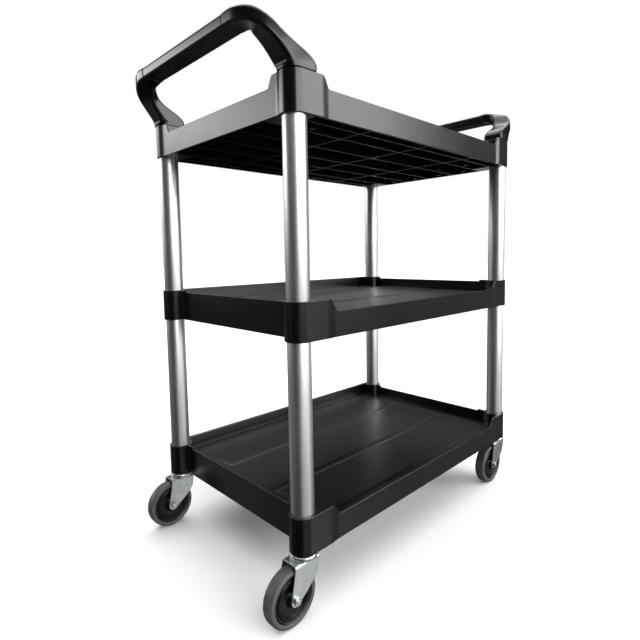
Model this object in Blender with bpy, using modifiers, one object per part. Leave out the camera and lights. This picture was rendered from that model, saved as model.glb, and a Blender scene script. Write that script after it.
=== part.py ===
"""Rolling utility cart: three moulded shelves on aluminium uprights, two push handles and four
swivel casters.

Metres, +Z up.  The origin is on the floor under the middle of the cart.  X runs along the cart
from handle to handle and the casters trail towards -X.  Front is +X and left is +Y.
"""

import math

import bmesh
import bpy
from mathutils import Matrix, Vector

# Layout of the cart
POST_X = 0.3475                 # upright axes from the centre, along the cart
POST_Y = 0.2125                 # upright axes from the centre, across the cart
SHELF_BASES = {"bottom": 0.115, "middle": 0.472, "top": 0.8295}
CORNERS = {"front_left": (1, 1), "front_right": (1, -1), "rear_left": (-1, 1), "rear_right": (-1, -1)}
GAP = 0.0003                    # clearance between pieces that touch

# Uprights
POST_R = 0.020
POST_WALL = 0.0016
SOCKET_DEPTH = 0.030
POST_SEGMENTS = 24

# Shelves
BLOCK_HEIGHT = 0.066            # every corner block, base to top
BLOCK_R = 0.024                 # outer corner radius, concentric with the upright
BOSS_R = 0.0265                 # inner side of a corner block on the two lower shelves
SIDE_Y = POST_Y + BLOCK_R       # long outer faces of the corner blocks
SIDE_SET = 0.002                # set-back of the long sides between the corner blocks
SIDE_RUN = 0.016                # length over which a side blends into that set-back
END_RUN = 0.024                 # length over which a top end face swells out to its corners
LOW_END_X = 0.3415              # end faces of the lower shelves, behind the corner posts
TOP_END_X = 0.3665              # end faces of the top shelf
WALL = 0.0035
WALL_Y = SIDE_Y - SIDE_SET - WALL   # inner faces of the long walls
FLOOR_TOP = 0.0375              # deck surface above the shelf's base
FLOOR_THICK = 0.0035
PANEL_RISE = 0.0014             # the deck's three panels stand this much above the tray's floor
PANEL_SLOPE = 0.012             # width of a panel's sloped edge
PANEL_END_X = 0.303             # feet of the outer slopes
PANEL_END_Y = 0.2145
VALLEY_Y = 0.075                # valleys between the panels
VALLEY_HALF = 0.0005
END_WALL_HEIGHT = 0.062         # lower shelves, between the corner posts
LIP_HEIGHT = 0.045              # lower shelves, open long side
LIP_FLAT_X = 0.278
LIP_RISE_X = 0.304
TOP_RIM_HEIGHT = 0.047
TOWER_X = 0.311                 # inner faces of the top shelf's corner towers
TOWER_Y = 0.188
TOWER_SLOPE_X = 0.290           # where the rim starts to rise to a tower
TOWER_SLOPE_Y = 0.170
TOWER_INNER_R = 0.015
RIB = 0.0025
CROSS_RIB_X = (0.0, 0.182)
LONG_RIB_Y = (0.0, 0.078, 0.156, 0.205)
CORNER_CELL_X = 0.318           # rib pockets beside a corner block stop here
CORNER_CELL_Y = 0.156

# Handles and their screws
HANDLE_SIDES = 16
SCREW_R = 0.0025
SCREW_HEAD_R = 0.0055
SCREW_HEAD_HEIGHT = 0.004
SCREW_REACH = 0.012             # screw length inside the handle's foot
HEAD_POCKET = 0.0065            # room above the upright for the screw's head

# Casters
WHEEL_R = 0.0495
TRAIL = 0.032                   # axle behind the swivel axis
TYRE_HALF = 0.0125
TYRE_INNER_R = 0.0400
HUB_HALF = 0.0145
HUB_BORE_R = 0.0066
SLEEVE_R = 0.0062
SLEEVE_BORE_R = 0.0043
AXLE_R = 0.0039
BOLT_HEAD_R = 0.0065
FORK_INNER = 0.0152             # half the space between the fork's legs
FORK_SHEET = 0.0025
CROWN_TOP = 0.1065
CROWN_THICK = 0.003
CROWN_FRONT = 0.020
LEG_REAR = -0.032
LEG_TIP_R = 0.0105
KINGPIN_R = 0.005
KINGPIN_HEAD_R = 0.0078
KINGPIN_TOP = 0.1470
CUP_R = 0.0245
CUP_SHEET = 0.002
CUP_LOW = 0.1075
RACE_INNER_R = 0.0120
RACE_OUTER_R = 0.0210


def clear_scene():
    """Remove every object already in the file."""
    for item in list(bpy.data.objects):
        bpy.data.objects.remove(item)


def collection(name):
    """A new collection linked to the scene."""
    group = bpy.data.collections.new(name)
    bpy.context.scene.collection.children.link(group)
    return group


def material(name, colour, roughness, metallic=0.0):
    """A Principled BSDF with one colour and finish."""
    mat = bpy.data.materials.new(name)
    mat.use_nodes = True
    shader = mat.node_tree.nodes["Principled BSDF"]
    shader.inputs["Base Color"].default_value = (*colour, 1.0)
    shader.inputs["Roughness"].default_value = roughness
    shader.inputs["Metallic"].default_value = metallic
    return mat


def add_object(name, mesh, group, mat=None, location=(0, 0, 0)):
    """Put a mesh into a collection as a named object."""
    item = bpy.data.objects.new(name, mesh)
    item.location = location
    if mat:
        mesh.materials.clear()
        mesh.materials.append(mat)
    group.objects.link(item)
    return item


def mesh_of(bm, name):
    """Turn a bmesh into a mesh whose faces point out."""
    bmesh.ops.recalc_face_normals(bm, faces=bm.faces)
    mesh = bpy.data.meshes.new(name)
    bm.to_mesh(mesh)
    bm.free()
    return mesh


def arc(centre, radius, start, stop, steps):
    """Points on a circle from one angle to another, in degrees."""
    points = []
    for k in range(steps + 1):
        angle = math.radians(start + (stop - start) * k / steps)
        points.append((centre[0] + radius * math.cos(angle), centre[1] + radius * math.sin(angle)))
    return points


def four_fold(quarter):
    """A closed outline from its points in the +X +Y quarter, anticlockwise."""
    second = [(-x, y) for x, y in reversed(quarter)]
    third = [(-x, -y) for x, y in quarter]
    fourth = [(x, -y) for x, y in reversed(quarter)]
    return quarter + second + third + fourth


def add_prism(bm, outline, axis, low, high):
    """Add a flat outline, drawn across an axis, pushed from low to high along that axis."""
    place = {"X": lambda u, v: (low, u, v), "Y": lambda u, v: (u, low, v), "Z": lambda u, v: (u, v, low)}
    face = bm.faces.new([bm.verts.new(place[axis](u, v)) for u, v in outline])
    pushed = bmesh.ops.extrude_face_region(bm, geom=[face])
    step = Vector([high - low if name == axis else 0.0 for name in "XYZ"])
    bmesh.ops.translate(bm, vec=step, verts=[v for v in pushed["geom"] if isinstance(v, bmesh.types.BMVert)])


def add_box(bm, low, high):
    """Add a box between two corners."""
    size = Vector(high) - Vector(low)
    middle = (Vector(high) + Vector(low)) / 2
    bmesh.ops.create_cube(bm, size=1.0, matrix=Matrix.Translation(middle) @ Matrix.Diagonal((*size, 1.0)))


def add_cylinder(bm, centre, radius, low, high, segments):
    """Add an upright cylinder between two heights."""
    place = Matrix.Translation((centre[0], centre[1], (low + high) / 2))
    bmesh.ops.create_cone(bm, cap_ends=True, segments=segments, radius1=radius, radius2=radius,
                          depth=high - low, matrix=place)


def turned(name, profile, group, mat, segments, location=(0, 0, 0), across=False):
    """Turn a closed profile of (radius, height) once round Z, or round Y when it lies across.

    The profile runs down its outer side and back up its inner side.
    """
    mesh = bpy.data.meshes.new(name)
    edges = [(k, (k + 1) % len(profile)) for k in range(len(profile))]
    if profile[0][0] == 0.0 and profile[-1][0] == 0.0:
        edges.pop()
    mesh.from_pydata([(r, 0.0, z) for r, z in profile], edges, [])
    item = add_object(name, mesh, group, mat, location)
    if across:
        item.rotation_euler = (math.pi / 2, 0.0, 0.0)
    screw = item.modifiers.new("turn", "SCREW")
    screw.steps = segments
    screw.render_steps = segments
    screw.use_merge_vertices = True
    screw.merge_threshold = 0.00001
    screw.use_smooth_shade = True
    return item


def boolean(item, tool, operation="DIFFERENCE"):
    """Cut or join another object into this one."""
    step = item.modifiers.new(tool.name, "BOOLEAN")
    step.operation = operation
    step.object = tool
    step.solver = "EXACT"


def cutter(name, bm, group):
    """A hidden tool for a Boolean."""
    item = add_object(name, mesh_of(bm, name), group)
    item.hide_render = True
    item.display_type = "WIRE"
    return item


def ease(low_at, high_at, low, high, steps=4):
    """Points of a smooth rise from (low_at, low) to (high_at, high)."""
    points = []
    for k in range(steps + 1):
        share = k / steps
        rise = (1 - math.cos(math.pi * share)) / 2
        points.append((low_at + (high_at - low_at) * share, low + (high - low) * rise))
    return points


def saddle(flat_at, rise_at, low, high):
    """Outline of the space above a dipped rim, open at the top."""
    rise = ease(flat_at, rise_at, low, high, 5)
    right = rise + [(rise_at, high + 0.01)]
    return right + [(-u, v) for u, v in reversed(right)]


def deck_panels(bm, base):
    """Three slightly raised panels with sloped edges, sunk a little into the tray's floor."""
    spans = ((-PANEL_END_Y, -VALLEY_Y - VALLEY_HALF), (-VALLEY_Y + VALLEY_HALF, VALLEY_Y - VALLEY_HALF),
             (VALLEY_Y + VALLEY_HALF, PANEL_END_Y))
    for low_y, high_y in spans:
        rings = []
        for inset, drop in ((0.0, PANEL_RISE + 0.001), (0.0, PANEL_RISE), (PANEL_SLOPE, 0.0)):
            x = PANEL_END_X - inset
            z = base + FLOOR_TOP - drop
            corners = ((-x, low_y + inset), (x, low_y + inset), (x, high_y - inset), (-x, high_y - inset))
            rings.append([bm.verts.new((u, v, z)) for u, v in corners])
        for one, two in zip(rings, rings[1:]):
            for k in range(4):
                j = (k + 1) % 4
                bm.faces.new((one[k], one[j], two[j], two[k]))
        bm.faces.new(rings[0])
        bm.faces.new(rings[-1])


def rib_pockets(bm, base, end_x):
    """The spaces between the ribs under a deck."""
    columns = list(CROSS_RIB_X) + [end_x - WALL + RIB / 2]
    rows = list(LONG_RIB_Y) + [WALL_Y + RIB / 2]
    for sx in (-1, 1):
        for sy in (-1, 1):
            for left, right in zip(columns, columns[1:]):
                for near, far in zip(rows, rows[1:]):
                    stop = right - RIB / 2
                    if near >= CORNER_CELL_Y:
                        stop = min(stop, CORNER_CELL_X)
                    xs = sorted((sx * (left + RIB / 2), sx * stop))
                    ys = sorted((sy * (near + RIB / 2), sy * (far - RIB / 2)))
                    add_box(bm, (xs[0], ys[0], base - 0.001),
                            (xs[1], ys[1], base + FLOOR_TOP - FLOOR_THICK))


def sockets(bm, low, high, radius, segments):
    """Four upright bores, one on each upright's axis."""
    for sx, sy in CORNERS.values():
        add_cylinder(bm, (sx * POST_X, sy * POST_Y), radius, low, high, segments)


def shelf_blank(name, base, end, block_x, parts, mat):
    """The full-height block of a shelf, before anything is cut from it.

    end holds the outline's points up to the round corner, and the long side sets back from block_x.
    """
    outline = end + ease(block_x, block_x - SIDE_RUN, SIDE_Y, SIDE_Y - SIDE_SET)
    bm = bmesh.new()
    add_prism(bm, four_fold(outline), "Z", base, base + BLOCK_HEIGHT)
    return add_object(name, mesh_of(bm, name), parts, mat)


def cut_shelf(shelf, base, end_x, pocket, tools):
    """Cut the tray, its deck panels and the rib pockets out of a shelf."""
    bm = bmesh.new()
    add_prism(bm, four_fold(pocket), "Z", base + FLOOR_TOP - PANEL_RISE, base + BLOCK_HEIGHT + 0.01)
    boolean(shelf, cutter(shelf.name + "_tray", bm, tools))
    bm = bmesh.new()
    deck_panels(bm, base)
    boolean(shelf, cutter(shelf.name + "_panels", bm, tools), "UNION")
    bm = bmesh.new()
    rib_pockets(bm, base, end_x)
    boolean(shelf, cutter(shelf.name + "_rib_pockets", bm, tools))


def lower_shelf(level, parts, tools, mat):
    """A shelf with one low long side, ends set back behind the corner posts and open corners."""
    base = SHELF_BASES[level]
    turn = -math.degrees(math.acos((LOW_END_X - POST_X) / BLOCK_R))
    corner = arc((POST_X, POST_Y), BLOCK_R, turn, 90, 8)
    shelf = shelf_blank(level + "_shelf", base, corner, LIP_RISE_X, parts, mat)
    inner_x = LOW_END_X - WALL
    end_angle = 360 - math.degrees(math.acos((inner_x - POST_X) / BOSS_R))
    side_angle = 180 - math.degrees(math.asin((WALL_Y - POST_Y) / BOSS_R))
    cut_shelf(shelf, base, LOW_END_X, arc((POST_X, POST_Y), BOSS_R, end_angle, side_angle, 6), tools)

    bm = bmesh.new()
    add_prism(bm, saddle(LIP_FLAT_X, LIP_RISE_X, base + LIP_HEIGHT, base + BLOCK_HEIGHT + 0.001), "Y",
              -SIDE_Y - 0.003, -WALL_Y + 0.003)
    boolean(shelf, cutter(shelf.name + "_open_side", bm, tools))

    bm = bmesh.new()
    for sx in (-1, 1):
        xs = sorted((sx * (inner_x - 0.003), sx * (LOW_END_X + 0.003)))
        add_box(bm, (xs[0], -TOWER_SLOPE_Y, base + END_WALL_HEIGHT),
                (xs[1], TOWER_SLOPE_Y, base + BLOCK_HEIGHT + 0.01))
    boolean(shelf, cutter(shelf.name + "_end_walls", bm, tools))

    bm = bmesh.new()
    top = base + BLOCK_HEIGHT
    sockets(bm, top - SOCKET_DEPTH - GAP, top + 0.001, POST_R + GAP, POST_SEGMENTS)
    if level == "middle":
        sockets(bm, base - 0.001, base + SOCKET_DEPTH + GAP, POST_R + GAP, POST_SEGMENTS)
    else:
        sockets(bm, base - 0.001, KINGPIN_TOP + GAP, KINGPIN_R + GAP, 14)
    boolean(shelf, cutter(shelf.name + "_sockets", bm, tools))
    return shelf


def top_shelf(parts, tools, mat):
    """The top shelf: a shallow tray with a tower at each corner that carries a handle's foot."""
    base = SHELF_BASES["top"]
    swell = [(x, y) for y, x in ease(POST_Y - END_RUN, POST_Y, TOP_END_X, POST_X + BLOCK_R)]
    corner = swell[:-1] + arc((POST_X, POST_Y), BLOCK_R, 0, 90, 6)
    shelf = shelf_blank("top_shelf", base, corner, TOWER_X, parts, mat)
    pocket = [(TOP_END_X - WALL, TOWER_Y)]
    pocket += arc((TOWER_X + TOWER_INNER_R, TOWER_Y + TOWER_INNER_R), TOWER_INNER_R, 270, 180, 5)
    pocket.append((TOWER_X, WALL_Y))
    cut_shelf(shelf, base, TOP_END_X, pocket, tools)

    for axis, flat, rise in (("Y", TOWER_SLOPE_X, TOWER_X), ("X", TOWER_SLOPE_Y, TOWER_Y)):
        bm = bmesh.new()
        outline = saddle(flat, rise, base + TOP_RIM_HEIGHT, base + BLOCK_HEIGHT + 0.001)
        add_prism(bm, outline, axis, -0.5, 0.5)
        boolean(shelf, cutter("top_shelf_saddle_" + axis.lower(), bm, tools))

    bm = bmesh.new()
    sockets(bm, base - 0.001, base + SOCKET_DEPTH + GAP, POST_R + GAP, POST_SEGMENTS)
    boolean(shelf, cutter("top_shelf_sockets", bm, tools))
    bm = bmesh.new()
    sockets(bm, base + SOCKET_DEPTH - 0.001, base + SOCKET_DEPTH + HEAD_POCKET, SCREW_HEAD_R + 0.001, 12)
    boolean(shelf, cutter("top_shelf_head_pockets", bm, tools))
    bm = bmesh.new()
    sockets(bm, base + SOCKET_DEPTH, base + BLOCK_HEIGHT + 0.001, SCREW_R + GAP, 12)
    boolean(shelf, cutter("top_shelf_screw_bores", bm, tools))
    return shelf


def upright(name, low, high, corner, parts, mat):
    """An aluminium tube between two heights."""
    profile = [(POST_R, high), (POST_R, low), (POST_R - POST_WALL, low), (POST_R - POST_WALL, high)]
    place = (corner[0] * POST_X, corner[1] * POST_Y, 0.0)
    return turned(name, profile, parts, mat, POST_SEGMENTS, place)


def uprights(parts, mat):
    """Four lower and four upper tubes, each seated in a socket at both ends."""
    runs = (("lower", "bottom", "middle"), ("upper", "middle", "top"))
    for corner_name, corner in CORNERS.items():
        for run, below, above in runs:
            low = SHELF_BASES[below] + BLOCK_HEIGHT - SOCKET_DEPTH
            high = SHELF_BASES[above] + SOCKET_DEPTH
            upright(f"{run}_upright_{corner_name}", low, high, corner, parts, mat)


# Handle sections from a foot to the middle of the grip: centre, direction across the bar on the
# side nearer the cart, direction towards the bar's outer or lower face, and the two half widths.
HANDLE_SECTIONS = (
    ((-0.3440, -0.2128, 0.8958), (0, 1, 0), (-1, 0, 0), 0.0236, 0.0278),
    ((-0.3455, -0.2125, 0.9060), (0, 1, 0), (-0.98, 0, -0.20), 0.0234, 0.0276),
    ((-0.3600, -0.2108, 0.9190), (0, 1, 0), (-0.72, 0, -0.69), 0.0222, 0.0168),
    ((-0.3810, -0.2072, 0.9370), (0.05, 1, 0.03), (-0.66, 0, -0.75), 0.0212, 0.0112),
    ((-0.3955, -0.1985, 0.9545), (0.30, 0.93, 0.06), (-0.60, 0, -0.80), 0.0214, 0.0110),
    ((-0.4040, -0.1830, 0.9685), (0.68, 0.73, 0.06), (-0.34, 0, -0.94), 0.0222, 0.0112),
    ((-0.4082, -0.1620, 0.9742), (0.95, 0.30, 0.06), (-0.05, 0, -1), 0.0220, 0.0110),
    ((-0.4088, -0.1430, 0.9745), (1, 0.03, 0.06), (0, 0, -1), 0.0214, 0.0105),
)
HANDLE_STEPS = 2                # rings between two sections


def blend_sections(sections, steps):
    """Extra sections on a smooth curve through the given ones."""
    rows = [[*centre, *across, *outward, *halves] for centre, across, outward, *halves in sections]
    rings = []
    for k in range(len(rows) - 1):
        before = rows[max(k - 1, 0)]
        after = rows[min(k + 2, len(rows) - 1)]
        for step in range(steps):
            t = step / steps
            row = []
            for a, b, c, d in zip(before, rows[k], rows[k + 1], after):
                row.append(0.5 * (2 * b + (c - a) * t + (2 * a - 5 * b + 4 * c - d) * t * t
                                  + (3 * b - a - 3 * c + d) * t ** 3))
            rings.append(row)
    rings.append(rows[-1])
    return rings


def handle_mesh():
    """One push handle at the -X end: two feet, two arms and a flat grip bar."""
    half = blend_sections(HANDLE_SECTIONS, HANDLE_STEPS)
    rings = [(row, 1) for row in half] + [(row, -1) for row in reversed(half)]
    bm = bmesh.new()
    loops = []
    for row, side in rings:
        centre = Vector(row[0:3])
        across = Vector(row[3:6]).normalized()
        outward = Vector(row[6:9])
        outward = (outward - across * outward.dot(across)).normalized()
        loop = []
        for k in range(HANDLE_SIDES):
            angle = 2 * math.pi * (k + 0.5) / HANDLE_SIDES
            c, s = math.cos(angle), math.sin(angle)
            reach = (abs(c) ** 4 + abs(s) ** 4) ** -0.25
            point = centre + across * (row[9] * c * reach) + outward * (row[10] * s * reach)
            loop.append(bm.verts.new((point.x, point.y * side, point.z)))
        loops.append(loop)
    for one, two in zip(loops, loops[1:]):
        for k in range(HANDLE_SIDES):
            j = (k + 1) % HANDLE_SIDES
            bm.faces.new((one[k], one[j], two[j], two[k]))
    bm.faces.new(loops[0])
    bm.faces.new(loops[-1])
    return mesh_of(bm, "handle")


def handles(parts, tools, mat, screw_mat):
    """A handle at each end, screwed down through the corner towers."""
    foot = SHELF_BASES["top"] + BLOCK_HEIGHT
    for name, turn in (("rear_handle", 0.0), ("front_handle", math.pi)):
        handle = add_object(name, handle_mesh(), parts, mat)
        handle.rotation_euler = (0.0, 0.0, turn)
        bm = bmesh.new()
        for sy in (-1, 1):
            add_cylinder(bm, (-POST_X * math.cos(turn), sy * POST_Y), SCREW_R + GAP, foot - 0.001,
                         foot + SCREW_REACH + GAP, 12)
        boolean(handle, cutter(name + "_bores", bm, tools))
    head_low = SHELF_BASES["top"] + SOCKET_DEPTH + GAP + 0.001
    head_top = head_low + SCREW_HEAD_HEIGHT
    profile = [(0.0, foot + SCREW_REACH), (SCREW_R, foot + SCREW_REACH), (SCREW_R, head_top),
               (SCREW_HEAD_R, head_top), (SCREW_HEAD_R, head_low), (0.0, head_low)]
    for corner_name, (sx, sy) in CORNERS.items():
        turned("handle_screw_" + corner_name, profile, parts, screw_mat, 12, (sx * POST_X, sy * POST_Y, 0.0))


def fork_mesh_outline():
    """Side view of the fork: the crown plate on top of a leg that narrows to a round tip."""
    crown_low = CROWN_TOP - CROWN_THICK
    tip = arc((-TRAIL, WHEEL_R), LEG_TIP_R, 172, 325, 8)
    front = [(-0.007, 0.0555), (0.002, 0.0630), (0.0115, 0.0715), (0.0165, 0.0800), (0.0195, 0.0930)]
    return [(LEG_REAR, CROWN_TOP)] + tip + front + [(CROWN_FRONT, crown_low), (CROWN_FRONT, CROWN_TOP)]


def fork(name, swivel, parts, tools, mat):
    """A pressed steel fork: one bent channel cut to its side view and drilled."""
    outer = FORK_INNER + FORK_SHEET
    crown_low = CROWN_TOP - CROWN_THICK
    channel = [(-outer, 0.03), (-FORK_INNER, 0.03), (-FORK_INNER, crown_low), (FORK_INNER, crown_low),
               (FORK_INNER, 0.03), (outer, 0.03), (outer, CROWN_TOP), (-outer, CROWN_TOP)]
    bm = bmesh.new()
    add_prism(bm, channel, "X", LEG_REAR - 0.02, CROWN_FRONT + 0.01)
    item = add_object(name, mesh_of(bm, name), parts, mat)
    item.parent = swivel
    bm = bmesh.new()
    add_prism(bm, fork_mesh_outline(), "Y", -0.03, 0.03)
    side = cutter(name + "_side", bm, tools)
    bm = bmesh.new()
    add_cylinder(bm, (0.0, 0.0), KINGPIN_R + 0.0005, crown_low - 0.001, CROWN_TOP + 0.001, 14)
    hole = cutter(name + "_kingpin_hole", bm, tools)
    bm = bmesh.new()
    add_cylinder(bm, (0.0, 0.0), AXLE_R + GAP, -0.03, 0.03, 12)
    bmesh.ops.rotate(bm, cent=(0, 0, 0), matrix=Matrix.Rotation(math.pi / 2, 3, "X"), verts=bm.verts)
    bmesh.ops.translate(bm, vec=(-TRAIL, 0.0, WHEEL_R), verts=bm.verts)
    axle_hole = cutter(name + "_axle_hole", bm, tools)
    for tool, operation in ((side, "INTERSECT"), (hole, "DIFFERENCE"), (axle_hole, "DIFFERENCE")):
        tool.parent = swivel
        boolean(item, tool, operation)
    return item


def hexagon_piece(name, location, low, high, across_flats, shank, parts, mat):
    """A hexagon head or nut across Y; a shank radius cuts a bore, and no shank leaves it solid."""
    bm = bmesh.new()
    hexagon = arc((0.0, 0.0), across_flats / math.sqrt(3), 0, 300, 5)
    if shank is None:
        add_prism(bm, hexagon, "Y", low, high)
    else:
        bore = arc((0.0, 0.0), shank, 0, 330, 11)
        for y in (low, high):
            for ring in (hexagon, bore):
                verts = [bm.verts.new((u, y, v)) for u, v in ring]
                for k in range(len(verts)):
                    bm.edges.new((verts[k], verts[(k + 1) % len(verts)]))
        bm.edges.ensure_lookup_table()
        size = len(hexagon) + len(bore)
        for start in (0, size):
            bmesh.ops.triangle_fill(bm, use_beauty=True, edges=list(bm.edges)[start:start + size])
        bm.verts.ensure_lookup_table()
        for start, count in ((0, len(hexagon)), (len(hexagon), len(bore))):
            for k in range(count):
                near = (start + k, start + (k + 1) % count)
                bm.faces.new([bm.verts[i] for i in (*near, size + near[1], size + near[0])])
    return add_object(name, mesh_of(bm, name), parts, mat, location)


def caster(corner_name, corner, parts, tools, mats):
    """One swivel caster: the fixed kingpin and race cup, the swivelling fork and the wheel."""
    centre = (corner[0] * POST_X, corner[1] * POST_Y, 0.0)
    axle = (-TRAIL, 0.0, WHEEL_R)
    swivel = bpy.data.objects.new("swivel_axis_" + corner_name, None)
    swivel.location = centre
    wheel = bpy.data.objects.new("wheel_axis_" + corner_name, None)
    wheel.parent = swivel
    wheel.location = axle
    parts.objects.link(swivel)
    parts.objects.link(wheel)

    head_top = CROWN_TOP - CROWN_THICK - 0.0005
    kingpin = [(0.0, KINGPIN_TOP), (KINGPIN_R, KINGPIN_TOP), (KINGPIN_R, head_top),
               (KINGPIN_HEAD_R, head_top), (KINGPIN_HEAD_R * 0.8, head_top - 0.0035),
               (0.0, head_top - 0.0040)]
    turned("caster_stem_" + corner_name, kingpin, parts, mats["zinc"], 14, centre)

    cup_top = SHELF_BASES["bottom"] - GAP
    cup = [(CUP_R - 0.002, cup_top), (CUP_R, cup_top - 0.002), (CUP_R, CUP_LOW),
           (CUP_R - CUP_SHEET, CUP_LOW), (CUP_R - CUP_SHEET, cup_top - CUP_SHEET),
           (KINGPIN_R + GAP, cup_top - CUP_SHEET), (KINGPIN_R + GAP, cup_top)]
    turned("swivel_race_cup_" + corner_name, cup, parts, mats["zinc"], 20, centre)

    race_low = CROWN_TOP + GAP
    race_high = cup_top - CUP_SHEET - GAP
    race = arc(((RACE_INNER_R + RACE_OUTER_R) / 2, (race_low + race_high) / 2), 1.0, 60, -240, 5)
    middle_r = (RACE_INNER_R + RACE_OUTER_R) / 2
    middle_z = (race_low + race_high) / 2
    race = [(middle_r + (u - middle_r) * (RACE_OUTER_R - RACE_INNER_R) / 2,
             middle_z + (v - middle_z) * (race_high - race_low) / 2) for u, v in race]
    turned("swivel_ball_ring_" + corner_name, race, parts, mats["steel"], 14).parent = swivel

    fork("caster_fork_" + corner_name, swivel, parts, tools, mats["zinc"])

    outer = FORK_INNER + FORK_SHEET + GAP
    bolt_tip = outer + 0.0052
    bolt = [(0.0, bolt_tip), (AXLE_R, bolt_tip), (AXLE_R, -outer), (BOLT_HEAD_R, -outer),
            (BOLT_HEAD_R, -outer - 0.0035), (BOLT_HEAD_R - 0.0017, -outer - 0.0045), (0.0, -outer - 0.0048)]
    item = turned("axle_bolt_" + corner_name, bolt, parts, mats["zinc"], 12, axle, across=True)
    item.parent = swivel
    item = hexagon_piece("axle_nut_" + corner_name, axle, -outer - 0.0042, -outer, 0.0125, AXLE_R + GAP,
                         parts, mats["zinc"])
    item.parent = swivel
    half = FORK_INNER - GAP
    sleeve = [(SLEEVE_R, half), (SLEEVE_R, -half), (SLEEVE_BORE_R, -half), (SLEEVE_BORE_R, half)]
    item = turned("axle_sleeve_" + corner_name, sleeve, parts, mats["steel"], 14, axle, across=True)
    item.parent = swivel

    hub = [(HUB_BORE_R, HUB_HALF), (0.0125, HUB_HALF), (0.0140, 0.0080), (0.0290, 0.0080), (0.0305, 0.0110),
           (TYRE_INNER_R - GAP, 0.0100)]
    hub = hub + [(r, -y) for r, y in reversed(hub)]
    turned("wheel_hub_" + corner_name, hub, parts, mats["hub"], 24, across=True).parent = wheel
    shoulder = [(TYRE_INNER_R, 0.0115), (WHEEL_R - 0.0035, TYRE_HALF), (WHEEL_R, 0.0080)]
    tyre = shoulder + [(r, -y) for r, y in reversed(shoulder)]
    turned("tyre_" + corner_name, tyre, parts, mats["tyre"], 32, across=True).parent = wheel


def build():
    """Make the whole cart."""
    clear_scene()
    parts = collection("rolling_utility_cart")
    tools = collection("cutters")
    plastic = material("black moulded plastic", (0.018, 0.018, 0.020), 0.42)
    aluminium = material("satin aluminium", (0.72, 0.72, 0.71), 0.32, 1.0)
    zinc = material("zinc plated steel", (0.62, 0.66, 0.64), 0.30, 1.0)
    steel = material("bright steel", (0.70, 0.70, 0.70), 0.25, 1.0)
    hub = material("black wheel plastic", (0.020, 0.020, 0.022), 0.50)
    tyre = material("grey rubber", (0.13, 0.13, 0.13), 0.70)
    for level in ("bottom", "middle"):
        lower_shelf(level, parts, tools, plastic)
    top_shelf(parts, tools, plastic)
    uprights(parts, aluminium)
    handles(parts, tools, plastic, zinc)
    mats = {"zinc": zinc, "steel": steel, "hub": hub, "tyre": tyre}
    for corner_name, corner in CORNERS.items():
        caster(corner_name, corner, parts, tools, mats)


build()
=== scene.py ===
"""Looks of the rolling utility cart: moulded shelves and handles, drawn tubes and swivel casters.

Metres, +Z up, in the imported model's own frame.  X runs from handle to handle, the casters trail
towards -X, front is +X and left is +Y.  Each function makes one kind of piece.
"""

import math

import bmesh
import bpy
from mathutils import Matrix, Vector


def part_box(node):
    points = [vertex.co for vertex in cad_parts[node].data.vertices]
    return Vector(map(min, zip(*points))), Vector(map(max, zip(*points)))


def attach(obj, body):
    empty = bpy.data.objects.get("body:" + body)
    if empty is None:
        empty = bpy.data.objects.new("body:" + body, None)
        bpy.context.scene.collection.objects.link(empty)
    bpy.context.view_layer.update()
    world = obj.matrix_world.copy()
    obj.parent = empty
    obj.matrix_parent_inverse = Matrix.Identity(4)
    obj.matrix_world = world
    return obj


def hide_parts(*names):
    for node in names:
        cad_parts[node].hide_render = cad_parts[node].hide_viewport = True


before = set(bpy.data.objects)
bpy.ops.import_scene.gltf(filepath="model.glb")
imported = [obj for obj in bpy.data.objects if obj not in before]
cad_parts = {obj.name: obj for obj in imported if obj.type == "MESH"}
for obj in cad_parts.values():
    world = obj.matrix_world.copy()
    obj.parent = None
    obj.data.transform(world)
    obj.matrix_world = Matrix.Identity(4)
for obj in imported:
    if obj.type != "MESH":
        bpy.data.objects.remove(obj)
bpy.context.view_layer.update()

CORNERS = {"front_left": (1, 1), "front_right": (1, -1), "rear_left": (-1, 1), "rear_right": (-1, -1)}
GAP = 0.0003                    # clearance between pieces that touch
PAST = 0.001                    # how far a cutting tool runs past the face it cuts
FAR_PAST = 0.003                # the same across a wall
CLEAR = 0.01                    # the same in open air

# Read from the frame: the upright axes, each shelf's base and the height of a corner block
POST_LOW, POST_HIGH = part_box("upper_upright_front_left")
POST_X = (POST_LOW.x + POST_HIGH.x) / 2
POST_Y = (POST_LOW.y + POST_HIGH.y) / 2
POST_R = (POST_HIGH.x - POST_LOW.x) / 2
SHELF_BASES = {level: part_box(level + "_shelf")[0].z for level in ("bottom", "middle", "top")}
SHELF_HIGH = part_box("bottom_shelf")[1]
BLOCK_HEIGHT = SHELF_HIGH.z - SHELF_BASES["bottom"]
BLOCK_R = SHELF_HIGH.x - POST_X
SIDE_Y = SHELF_HIGH.y
SOCKET_DEPTH = SHELF_BASES["bottom"] + BLOCK_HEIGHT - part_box("lower_upright_front_left")[0].z

SCREW_R = 0.0025
KINGPIN_R = 0.005
POST_WALL = 0.0016
CUT_END_R = 0.0005              # rounding of a tube's cut end

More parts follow.
